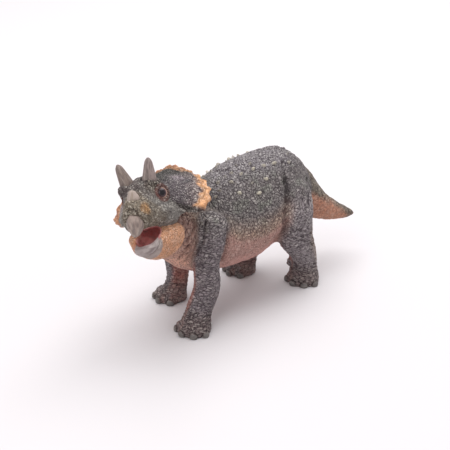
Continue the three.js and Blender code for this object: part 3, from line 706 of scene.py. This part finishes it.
# Where the skin is bare of wrinkles, how rough and how shaded it is, and where it is wet or glossy.
bare = np.max([0.8 * chin, 0.6 * rimPaint, 0.8 * scutes, 0.85 * nails, 0.5 * lids], axis=0)
bare = np.max([bare, inMouth, onTongue, sockets], axis=0)
rough = (1 - bare) * (1 - 0.35 * belly * (1 - 0.5 * chest)) * (1 - 0.35 * inner * limbs)
rough *= (1 - 0.5 * underTail) * (1 - 0.4 * rim) * (1 - 0.6 * np.maximum(pale, hollowShadow))
# Painted shade: darker paint in the folds, the creases and the gaps between the scales.
foldShade = np.clip(-(0.85 + 0.15 * neckSide) * folded, 0, 1)
edgeShade = (0.4 + 0.4 * onHead) * (1 - relief) * (1 - bare) * (1 - 0.7 * belly)
shade = np.clip(foldShade + edgeShade + 0.4 * np.clip(-creases, 0, 1), 0, 1)
gloss = np.max([0.8 * inMouth, onTongue, 0.35 * nails], axis=0)
print("head painted")


# The wrinkle network is drawn in coordinates laid out here in mm. Distances from an anchor are multiplied
# by shares along x, y and z where the mask is 1, so wrinkles come out long where a share is small.
def squeezed(lay, anchor, shares, mask):
    return lay + (lay - anchor) * (np.array(shares) - 1) * mask[:, None]


# On the limbs wrinkles lie level, on the thighs upright, and on the frill they follow the rays.
hips = {"aside": 14, "front": -19, "rear": 22, "above": 34}
wrinkles = {"limbs": (0.62, 0.62, 1.45), "thighs": (1.1, 1.1, 0.6)}
wrinkles |= {"neck": (1, 1, 0.6), "tail": (1, 0.8, 1), "rays": (27.2, 1.2)}
lay = points / mm + 0.5 * stir
sideways = np.sign(x)[:, None] * (hips["aside"], 0, 0)
thighs = limbs * ramp(y, -4, 4) * ramp(z, 28, 40)
for hip in (hips["front"], hips["rear"]):
    near = limbs * ramp(np.sign(hip) * y, -4, 4) * (1 - thighs)
    lay = squeezed(lay, sideways + (0, hip, hips["above"]), wrinkles["limbs"], near)
lay = squeezed(lay, sideways + (0, hips["rear"], hips["above"]), wrinkles["thighs"], thighs)
lay = squeezed(lay, (5, -28, 42), wrinkles["neck"], neckSide)
lay = squeezed(lay, (0, 40, 34), wrinkles["tail"], onTail)
perRadian, perLength = wrinkles["rays"]
rayLay = np.stack([perRadian * rayAngle, perLength * rayReach, 0 * rayReach], axis=1)
lay = np.where((onFrill * (1 - rim) > 0.5)[:, None], rayLay, lay)


# A shader group with its sockets, and what is on its two ends.
def newGroup(name, inputs, outputs):
    group = bpy.data.node_groups.new(name, "ShaderNodeTree")
    for label, kind in inputs:
        group.interface.new_socket(label, in_out="INPUT", socket_type="NodeSocket" + kind)
    for label, kind in outputs:
        group.interface.new_socket(label, in_out="OUTPUT", socket_type="NodeSocket" + kind)
    return group, group.nodes.new("NodeGroupInput").outputs, group.nodes.new("NodeGroupOutput").inputs


# Sets inputs to constants or to other nodes' outputs.
def fed(tree, made, inputs):
    for key, value in inputs.items():
        socket = made.inputs[key]
        if isinstance(value, bpy.types.NodeSocket):
            tree.links.new(value, socket)
        else:
            socket.default_value = value
    return made


# A shader node with its settings and inputs.
def newNode(tree, kind, inputs=None, **settings):
    made = tree.nodes.new("ShaderNode" + kind)
    for key, value in settings.items():
        setattr(made, key, value)
    return fed(tree, made, inputs or {})


# A group in use, and its outputs.
def useGroup(tree, group, inputs):
    made = tree.nodes.new("ShaderNodeGroup")
    made.node_tree = group
    return fed(tree, made, inputs).outputs


# A sum of the given kind over its values.
def sums(tree, operation, *values, clamp=False):
    return newNode(tree, "Math", dict(enumerate(values)), operation=operation, use_clamp=clamp).outputs[0]


# A value carried from one range to another, with a smooth climb.
def ranged(tree, value, low, high, start, end):
    inputs = {0: value, 1: low, 2: high, 3: start, 4: end}
    return newNode(tree, "MapRange", inputs, interpolation_type="SMOOTHSTEP").outputs[0]


# Two colours mixed: the share is the second's.
def mixed(tree, share, first, second):
    return newNode(tree, "Mix", {0: share, 6: first, 7: second}, data_type="RGBA").outputs[2]


# A shown colour as light, with an alpha of one.
def rgba(*shown):
    return (*light(*shown), 1)


# How wide the cells' edges and the creases are, beside a noise or a cell of size one, how strong each
# part is, and how fine each noise is beside the cells.
networkLook = {"bend": 1.3, "edge": 0.19, "crease": 0.07, "creaseShare": 0.35, "speck": 0.15}
fineness = {"crease": 0.8, "speck": 2.6, "drift": 0.45}


# The wrinkle network: cells with their edges cut in, crossed by winding creases. Place is in mm.
def networkGroup():
    sockets = [("Place", "Vector"), ("Size", "Float")]
    group, start, end = newGroup("network", sockets, [("Height", "Float"), ("Mottle", "Float")])
    scale = sums(group, "DIVIDE", 1.0, start["Size"])

    def noiseNode(rate, **detail):
        inputs = {"Vector": start["Place"], "Scale": sums(group, "MULTIPLY", scale, rate), **detail}
        return newNode(group, "TexNoise", inputs).outputs

    bend = noiseNode(1.0, Detail=1.0)["Color"]
    push = newNode(group, "VectorMath", {0: bend, "Scale": networkLook["bend"]}, operation="SCALE")
    place = newNode(group, "VectorMath", {0: start["Place"], 1: push.outputs[0]}, operation="ADD")
    inputs = {"Vector": place.outputs[0], "Scale": scale}
    cells = newNode(group, "TexVoronoi", inputs, feature="DISTANCE_TO_EDGE")
    domes = ranged(group, cells.outputs["Distance"], 0.0, networkLook["edge"], 0.0, 1.0)
    winding = sums(group, "SUBTRACT", noiseNode(fineness["crease"], Detail=2.0)["Fac"], 0.5)
    creased = ranged(group, sums(group, "ABSOLUTE", winding), 0.0, networkLook["crease"], 0.0, 1.0)
    speck = sums(group, "SUBTRACT", noiseNode(fineness["speck"])["Fac"], 0.5)
    height = sums(group, "MULTIPLY", domes, 1 - networkLook["creaseShare"])
    height = sums(group, "MULTIPLY_ADD", creased, networkLook["creaseShare"], height)
    height = sums(group, "MULTIPLY_ADD", speck, networkLook["speck"], height, clamp=True)
    group.links.new(height, end["Height"])
    drift = noiseNode(fineness["drift"], Detail=3.0)["Fac"]
    group.links.new(ranged(group, drift, 0.35, 0.65, 0.0, 1.0), end["Mottle"])
    return group


# The wash and the painted shade darken each colour by these shares, and the brush carries it halfway to a
# pale one.
# The wash fades out from low to high in the first range of heights, and the brush comes in over the second.
weatherAndShadeLook = {"dark": (0.26, 0.23, 0.25), "pale": (212, 206, 196)}
weatherAndShadeLook |= {"wash": (0.1, 0.65), "brush": (0.5, 1.0)}


# Weathering and painted shade: a dark wash where the network is low, darkened further by the painted shade
# that the mesh carries, and light dry brushing where it is high, in patches.
def weatherAndShadeGroup():
    sockets = [("Colour", "Color"), ("Height", "Float"), ("Mottle", "Float"), ("Shade", "Float")]
    sockets += [("Wash", "Float"), ("Brush", "Float")]
    group, start, end = newGroup("weatherAndShade", sockets, [("Colour", "Color")])
    colour, height = start["Colour"], start["Height"]
    low = sums(group, "MULTIPLY", ranged(group, height, *weatherAndShadeLook["wash"], 1.0, 0.0), start["Wash"])
    low = sums(group, "ADD", low, start["Shade"], clamp=True)
    dark = newNode(group, "VectorMath", {0: colour, 1: weatherAndShadeLook["dark"]}, operation="MULTIPLY")
    washedAndShaded = mixed(group, low, colour, dark.outputs[0])
    high = sums(group, "MULTIPLY", ranged(group, height, *weatherAndShadeLook["brush"], 0.0, 1.0), start["Brush"])
    high = sums(group, "MULTIPLY", high, start["Mottle"], clamp=True)
    pale = mixed(group, 0.5, colour, rgba(*weatherAndShadeLook["pale"]))
    group.links.new(mixed(group, high, washedAndShaded, pale), end["Colour"])
    return group


network, weatherAndShade = networkGroup(), weatherAndShadeGroup()


# What all the painted plastics share: the height where they are bare, their bump and their shine.
plastic = {"level": 0.75, "strength": 0.9, "wetRough": 0.2, "specular": 0.35}


# A painted plastic: colour, layout and masks come from the mesh, and the wear and the painted shade from
# the groups.
def paintedMaterial(name, look):
    material = bpy.data.materials.new(name)
    material.use_nodes = True
    tree = material.node_tree
    tree.nodes.clear()
    read = {}
    for key in ("paint", "lay", "rough", "shade", "gloss"):
        read[key] = newNode(tree, "Attribute", attribute_name=key).outputs
    lines = useGroup(tree, network, {"Place": read["lay"]["Vector"], "Size": look["cell"]})
    smooth = (plastic["level"], plastic["level"], plastic["level"], 1)
    height = mixed(tree, read["rough"]["Fac"], smooth, lines["Height"])
    inputs = {"Colour": read["paint"]["Color"], "Height": height, "Mottle": lines["Mottle"]}
    inputs |= {"Shade": read["shade"]["Fac"], "Wash": look["wash"], "Brush": look["brush"]}
    wornAndShaded = useGroup(tree, weatherAndShade, inputs)["Colour"]
    inputs = {"Strength": plastic["strength"], "Distance": look["bump"], "Height": height}
    bumped = newNode(tree, "Bump", inputs).outputs[0]
    roughness = ranged(tree, read["gloss"]["Fac"], 0.0, 1.0, look["rough"], plastic["wetRough"])
    shader = newNode(tree, "BsdfPrincipled", {"Base Color": wornAndShaded, "Roughness": roughness, "Normal": bumped})
    shader.inputs["Specular IOR Level"].default_value = plastic["specular"]
    newNode(tree, "OutputMaterial", {"Surface": shader.outputs[0]})
    return material


# A finished piece: its mesh with its coats, standing for its CAD node.
def finished(name, points, faces, coats, material, node):
    made = objectOf(name, points, faces)
    mesh = made.data
    kinds = {"paint": ("FLOAT_COLOR", "color"), "lay": ("FLOAT_VECTOR", "vector")}
    for label, values in coats.items():
        kind, field = kinds.get(label, ("FLOAT", "value"))
        if label == "paint":
            values = np.column_stack([values, np.ones(len(points))])
        data = mesh.attributes.new(label, kind, "POINT").data
        data.foreach_set(field, values.astype(np.float32).ravel())
    mesh.materials.append(material)
    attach(made, "root")
    if node:
        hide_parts(node)
    return made


# Shuts a cut-out part of the skin: each open edge joins the middle of its own rim.
def closedOff(points, faces):
    pairs = np.concatenate([faces[:, [0, 1]], faces[:, [1, 2]], faces[:, [2, 0]]])
    keys = np.sort(pairs, axis=1) @ (len(points), 1)
    _, first, count = np.unique(keys, return_index=True, return_counts=True)
    rim = pairs[first[count == 1]]
    label = labelled(len(points), rim)
    _, which = np.unique(label[rim[:, 0]], return_inverse=True)
    size = np.bincount(which)
    centres = np.stack([np.bincount(which, points[rim[:, 0], i]) / size for i in range(3)], axis=1)
    fans = np.column_stack([rim[:, 1], rim[:, 0], len(points) + which])
    return np.concatenate([points, centres]), np.concatenate([faces, fans]), len(centres)


hideLook = {"cell": 1.15, "wash": 1.0, "brush": 0.45, "bump": 0.9 * mm, "rough": 0.62}
hide = paintedMaterial("hide", hideLook)
faceLook = {"cell": 1.1, "wash": 1.0, "brush": 0.8, "bump": 1.1 * mm, "rough": 0.6}
face = paintedMaterial("face", faceLook)
coats = {"paint": paint, "lay": lay, "rough": rough, "shade": shade, "gloss": gloss}
nearest = np.argmin([away[name][faces].sum(axis=1) for name in skinNodes], axis=0)
for index, name in enumerate(skinNodes):
    own, ownFaces, used = subset(points, faces, nearest == index)
    shut, shutFaces, extra = closedOff(own, ownFaces)
    corners = np.append(used, used[:1].repeat(extra))
    ownCoats = {key: values[corners] for key, values in coats.items()}
    skinMaterial = face if name in ("head", "frill", "lower_jaw") else hide
    finished(name + "_skin", shut, shutFaces, ownCoats, skinMaterial, name)
    print(name, "skin:", len(shutFaces), "triangles,", extra, "rims")

# Horns and beaks: smooth copies of their nodes, with grain running along them, low where it is dark. The
# lower beak turns orange at its far end.
hornLook = {"cell": 0.8, "wash": 0.5, "brush": 0.35, "bump": 0.08 * mm, "rough": 0.5}
hornMaterial = paintedMaterial("horn", hornLook)
hornMelt = {"grow": 0.08 * mm, "voxel": 0.17 * mm}
grainLook = {"around": 3, "along": 1 / 3, "size": 0.6, "rise": 0.08 * mm}
hard = {
    "brow_horn_left": {"colour": (146, 130, 126), "low": (104, 90, 86)},
    "brow_horn_right": {"colour": (128, 112, 104), "low": (104, 90, 86)},
    "nose_horn": {"colour": (168, 152, 143), "low": (150, 134, 118)},
    "upper_beak": {"colour": (153, 136, 127), "low": (116, 102, 97)},
    "lower_beak": {"colour": (158, 145, 143), "low": (128, 114, 112), "far": (186, 118, 84)},
}


# Coordinates for the grain: the cosine and sine of the turn round a piece's longest axis, and the length
# along it in mm, each times its own rate.
def grainOf(solid):
    middle = solid.mean(axis=0)
    axis = np.linalg.svd(solid - middle, full_matrices=False)[2]
    local = (solid - middle) @ axis.T / mm
    around = np.arctan2(local[:, 1], local[:, 2])
    turned = grainLook["around"] * np.column_stack([np.cos(around), np.sin(around)])
    return np.column_stack([turned, local[:, 0] * grainLook["along"]])


for name, look in hard.items():
    solid, solidFaces = melted([name], **hornMelt)
    solid = smoothed(solid, edgesOf(solidFaces), weight=1, rounds=25)
    grain = grainOf(solid)
    streak = 0.5 + 0.5 * noise(grain, grainLook["size"], seed=21)
    solid = solid + normalsOf(solid, solidFaces) * (grainLook["rise"] * (streak - 0.5))[:, None]
    tone = np.tile(light(*look["colour"]), (len(solid), 1))
    tone = coat(tone, look["low"], ramp(1 - streak, 0.35, 0.9) * 0.8)
    if "far" in look:
        tone = coat(tone, look["far"], ramp(-toHead(solid)[:, 0], 2.8, 4))
    even = np.ones(len(solid))
    ownCoats = {"paint": tone, "lay": grain, "rough": 0.5 * even}
    ownCoats |= {"shade": 0.2 * (1 - streak), "gloss": 0.25 * even}
    finished(name + "_shell", solid, solidFaces, ownCoats, hornMaterial, name)
    print(name, "shell:", len(solidFaces), "triangles")


# A ball of radius one: the sine and cosine of each ring's lean from the top, and of the turn along it.
def ballArrays(rows, columns):
    lean = np.linspace(0, np.pi, rows + 2)[1:-1]
    turn = np.linspace(0, 2 * np.pi, columns + 1)[:-1]
    leans, turns = (part.ravel() for part in np.meshgrid(lean, turn, indexing="ij"))
    ball = np.column_stack([np.sin(leans) * np.cos(turns), np.sin(leans) * np.sin(turns), np.cos(leans)])
    ball = np.concatenate([ball, [(0, 0, 1), (0, 0, -1)]])
    here = np.arange(rows * columns).reshape(rows, columns)
    beside = np.roll(here, -1, axis=1)
    top, bottom = np.full(columns, rows * columns), np.full(columns, rows * columns + 1)
    parts = [np.stack([here[:-1], here[1:], beside[:-1]], axis=-1)]
    parts += [np.stack([beside[:-1], here[1:], beside[1:]], axis=-1)]
    parts += [np.stack([top, here[0], beside[0]], axis=-1)]
    parts += [np.stack([bottom, beside[-1], here[-1]], axis=-1)]
    return ball, np.concatenate([part.reshape(-1, 3) for part in parts])


# Eyeballs: glossy balls, each with a dark iris and a darker pupil, which reach so many radians from the
# middle of its look.
eyeLook = {"cell": 0.6, "wash": 0.0, "brush": 0.0, "bump": 0.005 * mm, "rough": 0.3}
eyeMaterial = paintedMaterial("eye", eyeLook)
eyeColours = {"ball": (170, 136, 124), "iris": (66, 46, 50), "pupil": (24, 18, 24)}
eyeReach = {"iris": 0.8, "pupil": 0.5, "edge": 0.1}
ball, ballFaces = ballArrays(rows=32, columns=48)
for side, name in ((1, "eye_left"), (-1, "eye_right")):
    place = np.array([side * eyes["out"], eyes["back"][side], -eyes["below"]]) + ball * eyes["ball"]
    looking = math.radians(eyes["facing"] - eyes["forwards"])
    look = np.array([side * math.sin(looking), -math.cos(looking), 0])
    angle = np.arccos(np.clip(ball @ look, -1, 1))
    tone = np.tile(light(*eyeColours["ball"]), (len(ball), 1))
    for part in ("iris", "pupil"):
        tone = coat(tone, eyeColours[part], ramp(eyeReach[part] - angle, 0, eyeReach["edge"]))
    even = np.ones(len(ball))
    ownCoats = {"paint": tone, "lay": ball, "rough": 0 * even, "shade": 0 * even, "gloss": even}
    finished(name, fromHead(place), ballFaces, ownCoats, eyeMaterial, None)
print("eyes set")

# The floor, and a plain sky.
floorLook = {"reach": 3.0, "colour": (211, 207, 209), "rough": 0.9}
corners = floorLook["reach"] * np.array([(-1, -1, 0), (1, -1, 0), (1, 1, 0), (-1, 1, 0)])
floor = objectOf("floor", corners, np.array([(0, 1, 2), (0, 2, 3)]))
table = bpy.data.materials.new("table")
table.use_nodes = True
tableInputs = table.node_tree.nodes["Principled BSDF"].inputs
tableInputs["Base Color"].default_value = rgba(*floorLook["colour"])
tableInputs["Roughness"].default_value = floorLook["rough"]
floor.data.materials.append(table)

sky = {"colour": (1, 0.99, 1, 1), "strength": 0.7}
world = bpy.data.worlds.new("sky")
bpy.context.scene.world = world
world.use_nodes = True
skyInputs = world.node_tree.nodes["Background"].inputs
skyInputs["Color"].default_value = sky["colour"]
skyInputs["Strength"].default_value = sky["strength"]


# A square lamp of so many metres and watts, turned from its place to its target.
def areaLight(name, place, target, width, power):
    lamp = bpy.data.lights.new(name, "AREA")
    lamp.size = width
    lamp.energy = power
    made = bpy.data.objects.new(name, lamp)
    made.location = place
    made.rotation_euler = (Vector(target) - Vector(place)).to_track_quat("-Z", "Y").to_euler()
    bpy.context.scene.collection.objects.link(made)


areaLight("key", place=(-0.15, 0.28, 0.76), target=(0, 0, 0.02), width=0.85, power=7.5)
areaLight("fill", place=(0.2, -0.7, 0.6), target=(0, 0, 0.03), width=0.6, power=2.5)

# The camera stands where the photo was taken from.
shot = {"azimuth": 46, "elevation": 24, "distance": 0.528, "target": (-0.01013, 0.00555, 0.02464)}
shot |= {"lens": 105.6, "sensor": 36, "nearest": 0.05, "farthest": 10}
azimuth, elevation = math.radians(shot["azimuth"]), math.radians(shot["elevation"])
level = math.cos(elevation)
behind = Vector((math.sin(azimuth) * level, -math.cos(azimuth) * level, math.sin(elevation)))
camera = bpy.data.objects.new("camera", bpy.data.cameras.new("camera"))
camera.data.lens = shot["lens"]
camera.data.sensor_width = shot["sensor"]
camera.data.clip_start = shot["nearest"]
camera.data.clip_end = shot["farthest"]
camera.location = Vector(shot["target"]) + behind * shot["distance"]
camera.rotation_euler = (-behind).to_track_quat("-Z", "Y").to_euler()
bpy.context.scene.collection.objects.link(camera)
bpy.context.scene.camera = camera
bpy.context.scene.view_settings.view_transform = "Standard"
